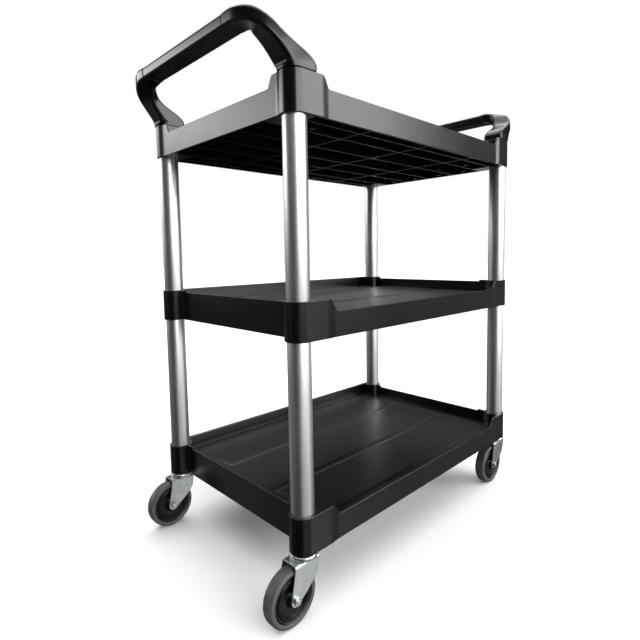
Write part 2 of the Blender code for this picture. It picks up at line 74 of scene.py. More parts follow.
# Shelves, heights measured up from a shelf's base
SIDE_SET = 0.0018               # set-back of the long sides between the corner blocks
SIDE_RUN = 0.022                # length over which a side blends into that set-back
END_RUN = 0.024                 # length over which a top end face swells out to its corners
BOSS_R = 0.0265                 # inner side of a corner block on the two lower shelves
LOW_END_X = 0.3415              # end faces of the lower shelves, set back behind the corner posts
TOP_END_X = 0.3665
WALL = 0.0035
WALL_Y = SIDE_Y - SIDE_SET - WALL   # inner faces of the long walls
FLOOR_TOP = 0.0375
FLOOR_THICK = 0.0035
PANEL_RISE = 0.0014             # the deck's three panels stand this much above the tray's floor
PANEL_SLOPE = 0.0125            # width of a panel's sloped edge
PANEL_END_X = 0.303             # feet of the outer slopes
PANEL_END_Y = 0.2145
VALLEY_Y = 0.075                # valleys between the panels
VALLEY_HALF = 0.0003
END_WALL_HEIGHT = 0.062
LIP_HEIGHT = 0.045
LIP_FLAT_X = 0.278
LIP_RISE_X = 0.304
TOP_RIM_HEIGHT = 0.047
TOWER_X = 0.311
TOWER_Y = 0.188
TOWER_SLOPE_X = 0.290
TOWER_SLOPE_Y = 0.170
TOWER_INNER_R = 0.015
RIB = 0.0025
CROSS_RIB_X = (0.0, 0.182)
LONG_RIB_Y = (0.0, 0.078, 0.156, 0.205)
CORNER_CELL_X = 0.318
CORNER_CELL_Y = 0.156
PIN_BOSS_R = 0.0052             # small round bosses under the top deck
PIN_BOSS_BORE_R = 0.0026
PIN_BOSS_LOW = 0.002
PIN_BOSS_ROOF = 0.002           # material left above a boss's bore
PIN_BOSSES = ((0.3435, 0.118), (0.3435, 0.0395), (0.267, 0.0885), (0.267, 0.167))
EDGE = 0.0011                   # rounding of a moulded edge
RIB_EDGE = 0.0003
HEAD_ROOM = 0.0052              # top of the recess for a handle screw's head, above the screw's low end
HEAD_DROP = 0.002               # how far that recess runs below the screw
HEAD_SIDE = 0.001               # its clearance round the head


# ---------------------------------------------------------------- mesh helpers

EDGE_SHARE = 0.48               # the most of an edge that the round of one corner may take
WELD = 0.00002                  # points this close become one after a cut
FLAT_ANGLE = 0.5                # degrees between faces that count as one flat face


def place(name, mesh, mats=()):
    """Link a mesh into the scene as a named object."""
    item = bpy.data.objects.new(name, mesh)
    bpy.context.scene.collection.objects.link(item)
    for mat in mats:
        mesh.materials.append(mat)
    return item


def mesh_of(bm, name):
    """Turn a bmesh into a mesh whose faces point out."""
    bmesh.ops.recalc_face_normals(bm, faces=bm.faces)
    mesh = bpy.data.meshes.new(name)
    bm.to_mesh(mesh)
    bm.free()
    return mesh


def arc(centre, radius, start, stop, steps):
    """Points on a circle from one angle to another, in degrees."""
    points = []
    for k in range(steps + 1):
        angle = math.radians(start + (stop - start) * k / steps)
        points.append((centre[0] + radius * math.cos(angle), centre[1] + radius * math.sin(angle)))
    return points


def four_fold(quarter):
    """A closed outline from its points in the +X +Y quarter, anticlockwise."""
    second = [(-x, y) for x, y in reversed(quarter)]
    third = [(-x, -y) for x, y in quarter]
    fourth = [(x, -y) for x, y in reversed(quarter)]
    return quarter + second + third + fourth


def soft_corners(points, radii, steps=4, closed=True):
    """The outline with each corner rounded; radii is one size or a size for each corner."""
    if not isinstance(radii, (list, tuple)):
        radii = [radii] * len(points)
    result = []
    for k, (point, radius) in enumerate(zip(points, radii)):
        at_end = not closed and k in (0, len(points) - 1)
        if radius == 0 or at_end:
            result.append(tuple(point))
            continue
        here = Vector(point)
        back = Vector(points[k - 1]) - here
        ahead = Vector(points[(k + 1) % len(points)]) - here
        reach = radius / math.tan(back.angle(ahead) / 2)
        reach = min(reach, EDGE_SHARE * back.length, EDGE_SHARE * ahead.length)
        start = here + back.normalized() * reach
        end = here + ahead.normalized() * reach
        for j in range(steps + 1):
            t = j / steps
            result.append(tuple(start * (1 - t) ** 2 + here * (2 * t * (1 - t)) + end * t ** 2))
    return result


def add_prism(bm, outline, axis, low, high):
    """Add a flat outline, drawn across an axis, pushed from low to high along that axis."""
    where = {"X": lambda u, v: (low, u, v), "Y": lambda u, v: (u, low, v), "Z": lambda u, v: (u, v, low)}
    face = bm.faces.new([bm.verts.new(where[axis](u, v)) for u, v in outline])
    pushed = bmesh.ops.extrude_face_region(bm, geom=[face])
    step = Vector([high - low if name == axis else 0.0 for name in "XYZ"])
    moved = [v for v in pushed["geom"] if isinstance(v, bmesh.types.BMVert)]
    bmesh.ops.translate(bm, vec=step, verts=moved)


def add_box(bm, low, high):
    """Add a box between two corners."""
    size = Vector(high) - Vector(low)
    middle = (Vector(high) + Vector(low)) / 2
    spot = Matrix.Translation(middle) @ Matrix.Diagonal((*size, 1.0))
    bmesh.ops.create_cube(bm, size=1.0, matrix=spot)


def add_cylinder(bm, centre, radius, low, high, segments):
    """Add an upright cylinder between two heights."""
    spot = Matrix.Translation((centre[0], centre[1], (low + high) / 2))
    bmesh.ops.create_cone(bm, cap_ends=True, segments=segments, radius1=radius, radius2=radius,
                          depth=high - low, matrix=spot)


def evaluated(item):
    """The mesh that an object's modifiers make."""
    depsgraph = bpy.context.evaluated_depsgraph_get()
    return bpy.data.meshes.new_from_object(item.evaluated_get(depsgraph), depsgraph=depsgraph)


def carve(item, tools):
    """Cut, join or cross a piece with tools, one after another."""
    for operation, tool_bm in tools:
        tool = place(item.name + "_tool", mesh_of(tool_bm, item.name + "_tool"))
        step = item.modifiers.new("carve", "BOOLEAN")
        step.operation = operation
        step.object = tool
        step.solver = "EXACT"
        mesh = evaluated(item)
        item.modifiers.clear()
        item.data = mesh
        bpy.data.objects.remove(tool)
    bm = bmesh.new()
    bm.from_mesh(item.data)
    bmesh.ops.remove_doubles(bm, verts=bm.verts, dist=WELD)
    bmesh.ops.dissolve_limit(bm, angle_limit=math.radians(FLAT_ANGLE), verts=bm.verts, edges=bm.edges)
    bm.to_mesh(item.data)
    bm.free()


def carved(name, bm, tools):
    """A piece made from a blank by a row of tools."""
    item = place(name, mesh_of(bm, name))
    carve(item, tools)
    return item


def soften(item, width, segments=3, angle=32):
    """Round the edges sharper than an angle."""
    bevel = item.modifiers.new("edges", "BEVEL")
    bevel.width = width
    bevel.segments = segments
    bevel.limit_method = "ANGLE"
    bevel.angle_limit = math.radians(angle)
    bevel.use_clamp_overlap = False
    bevel.loop_slide = False
    item.data = evaluated(item)
    item.modifiers.clear()


def smooth(item, angle=40):
    """Smooth shading apart from edges sharper than an angle, weighted towards the large faces."""
    mesh = item.data
    mesh.shade_smooth()
    mesh.set_sharp_from_angle(angle=math.radians(angle))
    weighted = item.modifiers.new("normals", "WEIGHTED_NORMAL")
    weighted.keep_sharp = True
    weighted.weight = 80


def turned(name, profile, segments, centre, across=False):
    """Turn a closed profile of (radius, height) round Z, or round Y when it lies across."""
    bm = bmesh.new()
    rings = []
    for radius, height in profile:
        if radius == 0.0:
            rings.append([bm.verts.new((0.0, 0.0, height))])
            continue
        ring = []
        for k in range(segments):
            angle = 2 * math.pi * k / segments
            ring.append(bm.verts.new((radius * math.cos(angle), radius * math.sin(angle), height)))
        rings.append(ring)
    for one, two in zip(rings, rings[1:] + rings[:1]):
        if len(one) == 1 and len(two) == 1:
            continue
        for k in range(segments):
            j = (k + 1) % segments
            corners = [one[k % len(one)], one[j % len(one)], two[j % len(two)], two[k % len(two)]]
            bm.faces.new(list(dict.fromkeys(corners)))
    if across:
        bmesh.ops.rotate(bm, cent=(0, 0, 0), matrix=Matrix.Rotation(math.pi / 2, 3, "X"), verts=bm.verts)
    bmesh.ops.translate(bm, vec=centre, verts=bm.verts)
    item = place(name, mesh_of(bm, name))
    item.data.shade_smooth()
    item.data.set_sharp_from_angle(angle=math.radians(40))
    return item


def stand_in(item, node, body, mat):
    """Let a piece stand for a CAD node: hide the node and put the piece on the same body, with its own
    material.
    """
    item.data.materials.clear()
    item.data.materials.append(mat)
    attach(item, body)
    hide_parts(node)


# ---------------------------------------------------------------- materials

def add_node(tree, kind, inputs=None, **settings):
    """Add a shader node, set its fields and give its inputs values or links."""
    item = tree.nodes.new(kind)
    for key, value in settings.items():
        setattr(item, key, value)
    for key, value in (inputs or {}).items():
        if isinstance(value, bpy.types.NodeSocket):
            tree.links.new(value, item.inputs[key])
        else:
            item.inputs[key].default_value = value
    return item


def blank_material(name):
    """A new node material: its tree, its shader and the object coordinates."""
    mat = bpy.data.materials.new(name)
    mat.use_nodes = True
    tree = mat.node_tree
    return mat, tree, tree.nodes["Principled BSDF"], add_node(tree, "ShaderNodeTexCoord").outputs["Object"]


def calc(tree, operation, *values):
    """The result of a Math node on numbers or links."""
    return add_node(tree, "ShaderNodeMath", dict(enumerate(values)), operation=operation).outputs[0]


def noise(tree, coords, scale, detail=3.0, rough=0.55, stretch=(1.0, 1.0, 1.0)):
    """Noise, drawn out along an axis where its stretch is small."""
    spot = add_node(tree, "ShaderNodeMapping", {"Vector": coords, "Scale": stretch}).outputs["Vector"]
    return add_node(tree, "ShaderNodeTexNoise", {"Vector": spot, "Scale": scale, "Detail": detail,
                                                 "Roughness": rough}).outputs["Fac"]


def remap(tree, value, low, high, to_low, to_high):
    """Map a range of values onto another range."""
    return add_node(tree, "ShaderNodeMapRange", {"Value": value, "From Min": low, "From Max": high,
                                                 "To Min": to_low, "To Max": to_high}).outputs["Result"]


def spread(tree, texture, low, high):
    """Stretch the range that nearly all of a noise's values fill onto another range."""
    return remap(tree, texture, 0.3, 0.7, low, high)


def mix_colour(tree, share, one, two):
    """Blend two colours by a share."""
    item = tree.nodes.new("ShaderNodeMix")
    item.data_type = "RGBA"
    tree.links.new(share, item.inputs["Factor"])
    for socket, colour in ((item.inputs[6], one), (item.inputs[7], two)):
        if isinstance(colour, bpy.types.NodeSocket):
            tree.links.new(colour, socket)
        else:
            socket.default_value = (*colour, 1.0)
    return item.outputs[2]


def bump(tree, height, strength, distance, below=None):
    """A bump normal from a height, laid over another bump."""
    inputs = {"Height": height, "Strength": strength, "Distance": distance}
    if below:
        inputs["Normal"] = below
    return add_node(tree, "ShaderNodeBump", inputs).outputs["Normal"]


UP_FROM = 0.6                   # upward parts of a normal between which a face comes to look up
UP_TO = 0.9
GRAIN = 900.0                   # scale of the moulded grain


def moulded_plastic(name, dark, light, rough_low, rough_high, coarser=0.0, shine=0.5):
    """Black moulded polymer: fine grain, coarser on the faces that look up, and slow tone changes."""
    mat, tree, shader, coords = blank_material(name)
    slow = noise(tree, coords, 7.0, 4.0)
    tree.links.new(mix_colour(tree, spread(tree, slow, 0.0, 1.0), dark, light), shader.inputs["Base Color"])
    normals = tree.nodes["Texture Coordinate"].outputs["Normal"]
    upward = add_node(tree, "ShaderNodeSeparateXYZ", {0: normals}).outputs["Z"]
    extra = remap(tree, upward, UP_FROM, UP_TO, 0.0, coarser)
    roughness = calc(tree, "ADD", spread(tree, slow, rough_low, rough_high), extra)
    tree.links.new(roughness, shader.inputs["Roughness"])
    pits = add_node(tree, "ShaderNodeTexVoronoi", {"Vector": coords, "Scale": GRAIN}).outputs["Distance"]
    normal = bump(tree, pits, 0.30, 0.00004)
    normal = bump(tree, noise(tree, coords, GRAIN * 1.7, 2.0), 0.30, 0.00004, normal)
    normal = bump(tree, noise(tree, coords, 22.0, 2.0), 0.25, 0.0004, normal)
    tree.links.new(normal, shader.inputs["Normal"])
    shader.inputs["Specular IOR Level"].default_value = shine
    return mat


def drawn_aluminium(name):
    """Satin anodised tube with fine drawing lines along its length."""
    mat, tree, shader, coords = blank_material(name)
    lines = noise(tree, coords, 900.0, 3.0, 0.6, stretch=(1.0, 1.0, 0.012))
    slow = noise(tree, coords, 14.0, stretch=(1.0, 1.0, 0.35))
    tone = mix_colour(tree, spread(tree, lines, 0.0, 1.0), (0.72, 0.72, 0.705), (0.78, 0.78, 0.765))
    tree.links.new(tone, shader.inputs["Base Color"])
    roughness = calc(tree, "ADD", spread(tree, lines, -0.02, 0.03), spread(tree, slow, 0.37, 0.41))
    tree.links.new(roughness, shader.inputs["Roughness"])
    shader.inputs["Metallic"].default_value = 1.0
    normal = bump(tree, lines, 0.10, 0.00002)
    normal = bump(tree, noise(tree, coords, 1500.0, 2.0), 0.15, 0.00002, normal)
    tree.links.new(normal, shader.inputs["Normal"])
    return mat


def plated_steel(name, dark, light, rough_low, rough_high):
    """Zinc plate over pressed steel: cloudy tone, press marks and fine grain."""
    mat, tree, shader, coords = blank_material(name)
    cloud = noise(tree, coords, 90.0, 5.0, 0.65)
    drag = noise(tree, coords, 1100.0, 2.0, stretch=(1.0, 1.0, 0.08))
    tone = mix_colour(tree, remap(tree, cloud, 0.35, 0.65, 0.0, 1.0), dark, light)
    tree.links.new(tone, shader.inputs["Base Color"])
    tree.links.new(spread(tree, cloud, rough_low, rough_high), shader.inputs["Roughness"])
    shader.inputs["Metallic"].default_value = 1.0
    normal = bump(tree, cloud, 0.2, 0.0002)
    normal = bump(tree, drag, 0.2, 0.00003, normal)
    tree.links.new(normal, shader.inputs["Normal"])
    return mat


def grey_rubber(name):
    """Non-marking grey tyre: matt, lightly dusty, with uneven tone and a fine grain."""
    mat, tree, shader, coords = blank_material(name)
    slow = noise(tree, coords, 38.0, 5.0, 0.6)
    fine = noise(tree, coords, 1300.0)
    dust = remap(tree, noise(tree, coords, 260.0, 4.0, 0.7), 0.5, 0.75, 0.0, 0.5)
    tone = mix_colour(tree, spread(tree, slow, 0.0, 1.0), (0.036, 0.036, 0.035), (0.056, 0.056, 0.054))
    tree.links.new(mix_colour(tree, dust, tone, (0.11, 0.108, 0.104)), shader.inputs["Base Color"])
    tree.links.new(spread(tree, slow, 0.38, 0.48), shader.inputs["Roughness"])
    normal = bump(tree, fine, 0.4, 0.00006)
    normal = bump(tree, slow, 0.2, 0.0003, normal)
    tree.links.new(normal, shader.inputs["Normal"])
    return mat


# ---------------------------------------------------------------- shelves

def ease(low_at, high_at, low, high, steps=10):
    """Points of a smooth rise from (low_at, low) to (high_at, high)."""
    points = []
    for k in range(steps + 1):
        share = k / steps
        rise = (1 - math.cos(math.pi * share)) / 2
        points.append((low_at + (high_at - low_at) * share, low + (high - low) * rise))
    return points


def ogee(low_at, high_at, low, high, steps=14):
    """Points of a rise with a short foot and a long round shoulder."""
    points = []
    for k in range(steps + 1):
        share = k / steps
        rise = 1 - (1 - share ** 1.6) ** 4
        points.append((low_at + (high_at - low_at) * share, low + (high - low) * rise))
    return points


def saddle(flat_at, rise_at, low, high):
    """Outline of the space above a dipped rim, open at the top."""
    right = ogee(flat_at, rise_at, low, high) + [(rise_at, high + CLEAR)]
    return right + [(-u, v) for u, v in reversed(right)]


def deck_panels(base, steps=8):
    """Three slightly raised panels with softly sloped edges, sunk a little into the tray's floor."""
    bm = bmesh.new()
    spans = ((-PANEL_END_Y, -VALLEY_Y - VALLEY_HALF), (-VALLEY_Y + VALLEY_HALF, VALLEY_Y - VALLEY_HALF),
             (VALLEY_Y + VALLEY_HALF, PANEL_END_Y))
    profile = [(0.0, -PANEL_RISE - PAST)] + ease(0.0, PANEL_SLOPE, -PANEL_RISE, 0.0, steps)
    for low_y, high_y in spans:
        rings = []
        for inset, rise in profile:
            x = PANEL_END_X - inset
            z = base + FLOOR_TOP + rise
            corners = ((-x, low_y + inset), (x, low_y + inset), (x, high_y - inset), (-x, high_y - inset))
            rings.append([bm.verts.new((u, v, z)) for u, v in corners])
        for one, two in zip(rings, rings[1:]):
            for k in range(4):
                j = (k + 1) % 4
                bm.faces.new((one[k], one[j], two[j], two[k]))
        bm.faces.new(rings[0])
        bm.faces.new(rings[-1])
    return bm


def rib_pockets(base, end_x):
    """The spaces between the ribs under a deck."""
    bm = bmesh.new()
    columns = list(CROSS_RIB_X) + [end_x - WALL + RIB / 2]
    rows = list(LONG_RIB_Y) + [WALL_Y + RIB / 2]
    for sx in (-1, 1):
        for sy in (-1, 1):
            for left, right in zip(columns, columns[1:]):
                for near, far in zip(rows, rows[1:]):
                    stop = right - RIB / 2
                    if near >= CORNER_CELL_Y:
                        stop = min(stop, CORNER_CELL_X)
                    xs = sorted((sx * (left + RIB / 2), sx * stop))
                    ys = sorted((sy * (near + RIB / 2), sy * (far - RIB / 2)))
                    add_box(bm, (xs[0], ys[0], base - PAST),
                            (xs[1], ys[1], base + FLOOR_TOP - FLOOR_THICK))
    return bm


def sockets(low, high, radius, segments):
    """Four upright bores, one on each upright's axis."""
    bm = bmesh.new()
    for sx, sy in CORNERS.values():
        add_cylinder(bm, (sx * POST_X, sy * POST_Y), radius, low, high, segments)
    return bm


def shelf_blank(base, end, block_x):
    """The full-height block of a shelf, before anything is cut from it.

    end holds the outline's points up to the round corner, and the long side sets back from block_x.
    """
    outline = end + ease(block_x, block_x - SIDE_RUN, SIDE_Y, SIDE_Y - SIDE_SET)
    bm = bmesh.new()
    add_prism(bm, four_fold(outline), "Z", base, base + BLOCK_HEIGHT)
    return bm


def tray_cuts(base, pocket):
    """The tray, to cut, and its deck panels, to join."""
    tray = bmesh.new()
    add_prism(tray, four_fold(pocket), "Z", base + FLOOR_TOP - PANEL_RISE, base + BLOCK_HEIGHT + CLEAR)
    return [("DIFFERENCE", tray), ("UNION", deck_panels(base))]


def finish_shelf(shelf, under, mat):
    """Round a shelf's edges, cut the ribs crisply under it and put it in its node's place."""
    soften(shelf, EDGE)
    carve(shelf, under)
    soften(shelf, RIB_EDGE, 2)
    smooth(shelf, 60)
    stand_in(shelf, shelf.name.removesuffix("_moulding"), "cart", mat)


def lower_shelf(level, mat):
    """A shelf with one low long side, ends set back behind the corner posts and open corners."""
    base = SHELF_BASES[level]
    turn = -math.degrees(math.acos((LOW_END_X - POST_X) / BLOCK_R))
    blank = shelf_blank(base, arc((POST_X, POST_Y), BLOCK_R, turn, 90, 28), LIP_RISE_X)
    inner_x = LOW_END_X - WALL
    end_angle = 360 - math.degrees(math.acos((inner_x - POST_X) / BOSS_R))
    side_angle = 180 - math.degrees(math.asin((WALL_Y - POST_Y) / BOSS_R))
    tools = tray_cuts(base, arc((POST_X, POST_Y), BOSS_R, end_angle, side_angle, 18))

    top = base + BLOCK_HEIGHT
    lip = bmesh.new()
    add_prism(lip, saddle(LIP_FLAT_X, LIP_RISE_X, base + LIP_HEIGHT, top + PAST), "Y",
              -SIDE_Y - FAR_PAST, -WALL_Y + FAR_PAST)
    ends = bmesh.new()
    for sx in (-1, 1):
        xs = sorted((sx * (inner_x - FAR_PAST), sx * (LOW_END_X + FAR_PAST)))
        add_box(ends, (xs[0], -TOWER_SLOPE_Y, base + END_WALL_HEIGHT), (xs[1], TOWER_SLOPE_Y, top + CLEAR))
    tools += [("DIFFERENCE", lip), ("DIFFERENCE", ends),
              ("DIFFERENCE", sockets(top - SOCKET_DEPTH - GAP, top + PAST, POST_R + GAP, 64))]
    if level == "middle":
        below = sockets(base - PAST, base + SOCKET_DEPTH + GAP, POST_R + GAP, 64)
    else:
        stem_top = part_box("caster_stem_front_left")[1].z
        below = sockets(base - PAST, stem_top + GAP, KINGPIN_R + GAP, 40)
    tools.append(("DIFFERENCE", below))
    shelf = carved(level + "_shelf_moulding", blank, tools)
    finish_shelf(shelf, [("DIFFERENCE", rib_pockets(base, LOW_END_X))], mat)


def top_shelf(mat):
    """The top shelf: a shallow tray with a tower at each corner that carries a handle's foot."""
    base = SHELF_BASES["top"]
    pocket = [(TOP_END_X - WALL, TOWER_Y)]
    pocket += arc((TOWER_X + TOWER_INNER_R, TOWER_Y + TOWER_INNER_R), TOWER_INNER_R, 270, 180, 12)
    pocket.append((TOWER_X, WALL_Y))
    top = base + BLOCK_HEIGHT
    tools = tray_cuts(base, pocket)
    for axis, flat, rise in (("Y", TOWER_SLOPE_X, TOWER_X), ("X", TOWER_SLOPE_Y, TOWER_Y)):
        space = bmesh.new()
        add_prism(space, saddle(flat, rise, base + TOP_RIM_HEIGHT, top + PAST), axis, -0.5, 0.5)
        tools.append(("DIFFERENCE", space))
    deck_low = base + FLOOR_TOP - FLOOR_THICK
    bosses = bmesh.new()
    bores = bmesh.new()
    for x, y in PIN_BOSSES:
        for sx, sy in CORNERS.values():
            add_cylinder(bosses, (sx * x, sy * y), PIN_BOSS_R, base + PIN_BOSS_LOW, deck_low + PAST, 36)
            add_cylinder(bores, (sx * x, sy * y), PIN_BOSS_BORE_R, base, deck_low - PIN_BOSS_ROOF, 36)
    under = [("DIFFERENCE", rib_pockets(base, TOP_END_X)), ("UNION", bosses), ("DIFFERENCE", bores)]
    screw_low, screw_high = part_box("handle_screw_front_left")
    head_r = (screw_high.x - screw_low.x) / 2
    head_low = screw_low.z - HEAD_DROP
    head_high = screw_low.z + HEAD_ROOM
    tools += [("DIFFERENCE", sockets(base - PAST, base + SOCKET_DEPTH + GAP, POST_R + GAP, 64)),
              ("DIFFERENCE", sockets(head_low, head_high, head_r + HEAD_SIDE, 40)),
              ("DIFFERENCE", sockets(screw_low.z, top + PAST, SCREW_R + GAP, 40))]
    swell = [(x, y) for y, x in ease(POST_Y - END_RUN, POST_Y, TOP_END_X, POST_X + BLOCK_R)]
    blank = shelf_blank(base, swell[:-1] + arc((POST_X, POST_Y), BLOCK_R, 0, 90, 22), TOWER_X)
    finish_shelf(carved("top_shelf_moulding", blank, tools), under, mat)


# ---------------------------------------------------------------- uprights and handles

def uprights(mat):
    """Eight drawn tubes, their cut ends lightly rounded."""
    for corner_name, (sx, sy) in CORNERS.items():
        for run in ("lower", "upper"):
            node = f"{run}_upright_{corner_name}"
            low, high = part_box(node)
            inner = POST_R - POST_WALL
            profile = [(POST_R, low.z), (POST_R, high.z), (inner, high.z), (inner, low.z)]
            profile = soft_corners(profile, CUT_END_R, 3)
            item = turned(node + "_tube", profile, 72, (sx * POST_X, sy * POST_Y, 0.0))
            stand_in(item, node, "cart", mat)


# Handle sections from a foot to the start of the grip: centre, direction across the bar towards
# the cart's middle, direction through the bar towards its outer or lower face, the two half widths,
# and the corner radii on that face and on the opposite one.
HANDLE_SECTIONS = (
    ((-0.3440, -0.2128, 0.8958), (0, 1, 0), (-1, 0, 0), 0.0236, 0.0278, 0.0195, 0.0070),
    ((-0.3455, -0.2125, 0.9060), (0, 1, 0), (-0.98, 0, -0.20), 0.0234, 0.0276, 0.0185, 0.0070),
    ((-0.3600, -0.2108, 0.9190), (0, 1, 0), (-0.72, 0, -0.69), 0.0222, 0.0168, 0.0085, 0.0070),
    ((-0.3810, -0.2072, 0.9370), (0.05, 1, 0.03), (-0.66, 0, -0.75), 0.0212, 0.0112, 0.0060, 0.0065),
    ((-0.3955, -0.1985, 0.9545), (0.30, 0.93, 0.06), (-0.60, 0, -0.80), 0.0214, 0.0110, 0.0050, 0.0060),
    ((-0.4040, -0.1830, 0.9685), (0.68, 0.73, 0.06), (-0.34, 0, -0.94), 0.0222, 0.0112, 0.0040, 0.0060),
    ((-0.4082, -0.1620, 0.9742), (0.95, 0.30, 0.06), (-0.05, 0, -1), 0.0220, 0.0110, 0.0035, 0.0060),
    ((-0.4088, -0.1430, 0.9745), (1, 0.03, 0.06), (0, 0, -1), 0.0214, 0.0105, 0.0035, 0.0060),
)
HANDLE_STEPS = 6                # rings between two sections
CORNER_POINTS = 7
GROOVE_Y = 0.1400               # grooves that mark off the grip, one near each end
GROOVE_HALF = 0.0011
GROOVE_MOUTH = 1.6              # width of a groove's mouth, as a multiple of its floor's
GROOVE_DEPTH = 0.0012
GRIP_INSET = 0.0005
FOOT_ROUND = 0.0012
ROUND_MIDDLE = 0.3              # where a round's middle lies, in and up, as a share of its radius
LEAST_CORNER_R = 0.001
LARGEST_CORNER = 0.95           # largest corner radius, as a share of a half width


def blend_sections(sections, steps):
    """Extra sections on a smooth curve through the given ones."""
    rows = [[*centre, *across, *outward, *sizes] for centre, across, outward, *sizes in sections]
    rings = []
    for k in range(len(rows) - 1):
        before = rows[max(k - 1, 0)]
        after = rows[min(k + 2, len(rows) - 1)]
        for step in range(steps):
            t = step / steps
            row = []
            for a, b, c, d in zip(before, rows[k], rows[k + 1], after):
                row.append(0.5 * (2 * b + (c - a) * t + (2 * a - 5 * b + 4 * c - d) * t * t
                                  + (3 * b - a - 3 * c + d) * t ** 3))
            rings.append(row)
    rings.append(rows[-1])
    return rings


def section_loop(row, inset=0.0):
    """Points round one section: a box with rounded corners, shrunk by an inset."""
    centre = Vector(row[0:3])
    across = Vector(row[3:6]).normalized()
    outward = Vector(row[6:9])
    outward = (outward - across * outward.dot(across)).normalized()
    wide, deep = row[9] - inset, row[10] - inset
    loop = []
    for quarter, (u, v) in enumerate(((1, 1), (-1, 1), (-1, -1), (1, -1))):
        radius = max(row[11] if v > 0 else row[12], LEAST_CORNER_R)
        radius = min(radius, LARGEST_CORNER * wide, LARGEST_CORNER * deep)
        for k in range(CORNER_POINTS):
            angle = math.radians(90 * (quarter + k / (CORNER_POINTS - 1)))
            reach_u = u * (wide - radius) + radius * math.cos(angle)
            reach_v = v * (deep - radius) + radius * math.sin(angle)
            loop.append(centre + across * reach_u + outward * reach_v)
    return loop


def handle_rings():
    """Loops of points from one foot of the -X handle to the other."""
    rows = blend_sections(HANDLE_SECTIONS, HANDLE_STEPS)
    foot = list(rows[0])
    risen = list(foot)
    risen[2] += FOOT_ROUND * ROUND_MIDDLE
    full = list(foot)
    full[2] += FOOT_ROUND
    half = [section_loop(foot, FOOT_ROUND), section_loop(risen, FOOT_ROUND * ROUND_MIDDLE),
            section_loop(full)]
    half += [section_loop(row) for row in rows[1:]]
    grip = rows[-1]
    mouth = GROOVE_HALF * GROOVE_MOUTH
    steps = ((-mouth, 0.0), (-GROOVE_HALF, GROOVE_DEPTH), (GROOVE_HALF, GROOVE_DEPTH), (mouth, GRIP_INSET))
    for along, inset in steps:
        row = list(grip)
        row[1] = -GROOVE_Y + along
        half.append(section_loop(row, inset))
    mirrored = [[Vector((p.x, -p.y, p.z)) for p in loop] for loop in reversed(half)]
    return half + mirrored


def handle_blank():
    """The closed solid of the -X handle."""
    bm = bmesh.new()
    loops = [[bm.verts.new(point) for point in loop] for loop in handle_rings()]
    for one, two in zip(loops, loops[1:]):
        for k in range(len(one)):
            j = (k + 1) % len(one)
            bm.faces.new((one[k], one[j], two[j], two[k]))
    bm.faces.new(loops[0])
    bm.faces.new(loops[-1])
    return bm


def handles(mat):
    """A handle at each end, bored for the screws that come up through the towers."""
    foot = SHELF_BASES["top"] + BLOCK_HEIGHT
    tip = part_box("handle_screw_front_left")[1].z
    for node, turn in (("rear_handle", 0.0), ("front_handle", math.pi)):
        bm = handle_blank()
        bmesh.ops.rotate(bm, cent=(0, 0, 0), matrix=Matrix.Rotation(turn, 3, "Z"), verts=bm.verts)
        bores = bmesh.new()
        for sy in (-1, 1):
            centre = (-POST_X * math.cos(turn), sy * POST_Y)
            add_cylinder(bores, centre, SCREW_R + GAP, foot - PAST, tip + GAP, 20)
        item = carved(node + "_moulding", bm, [("DIFFERENCE", bores)])
        smooth(item, 50)
        stand_in(item, node, "cart", mat)


# ---------------------------------------------------------------- casters

WHEEL_LOW, WHEEL_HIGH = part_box("tyre_front_left")
WHEEL_R = (WHEEL_HIGH.z - WHEEL_LOW.z) / 2
TYRE_HALF = (WHEEL_HIGH.y - WHEEL_LOW.y) / 2
TRAIL = POST_X - (WHEEL_HIGH.x + WHEEL_LOW.x) / 2
TYRE_INNER_R = 0.0400
HUB_HALF = 0.0145
HUB_BORE_R = 0.0066
AXLE_R = 0.0039
BOLT_HEAD_R = 0.0065
BOLT_HEAD = 0.0048
BOLT_HEAD_RIM = 0.0030          # straight part of the head, under its domed edge
BOLT_REACH = 0.0052             # how far the bolt stands out past the fork on the nut's side
NUT_ACROSS = 0.0125
NUT_THICK = 0.0042
NUT_CHAMFER = 0.0016
FORK_INNER = 0.0152
FORK_SHEET = 0.0025
FORK_OUTER = FORK_INNER + FORK_SHEET
CROWN_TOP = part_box("caster_fork_front_left")[1].z
CROWN_THICK = 0.003
CROWN_LOW = CROWN_TOP - CROWN_THICK
CROWN_FRONT = 0.020
LEG_REAR = -0.032
LEG_FOOT = 0.03                 # height that the legs reach down to before they are cut to shape
LEG_TIP_R = 0.0105
BEND_R = 0.0050                 # outer bend where a leg folds down from the crown
BEND_INNER_R = 0.0022
FORK_EDGE = 0.0006
TOOL_REACH = 0.03               # how far the fork's tools reach to each side
KINGPIN_GAP = 0.0005            # clearance between the kingpin and the crown, round it and under it
KINGPIN_HEAD_R = 0.0078
KINGPIN_HEAD_RIM = 0.0020
CUP_R = 0.0245
CUP_SHEET = 0.002


def fork_side():
    """Side view of the fork: the crown plate on top of a leg that narrows to a round tip."""
    tip = arc((-TRAIL, WHEEL_R), LEG_TIP_R, 172, 325, 18)
    rear = [(LEG_REAR, CROWN_TOP + PAST), (LEG_REAR, CROWN_TOP - PAST)]
    front = [(-0.007, 0.0555), (0.002, 0.0630), (0.0115, 0.0715), (0.0165, 0.0800), (0.0195, 0.0930)]
    ahead = [(CROWN_FRONT, CROWN_LOW), (CROWN_FRONT, CROWN_TOP + PAST)]
    return rear + tip + front + ahead


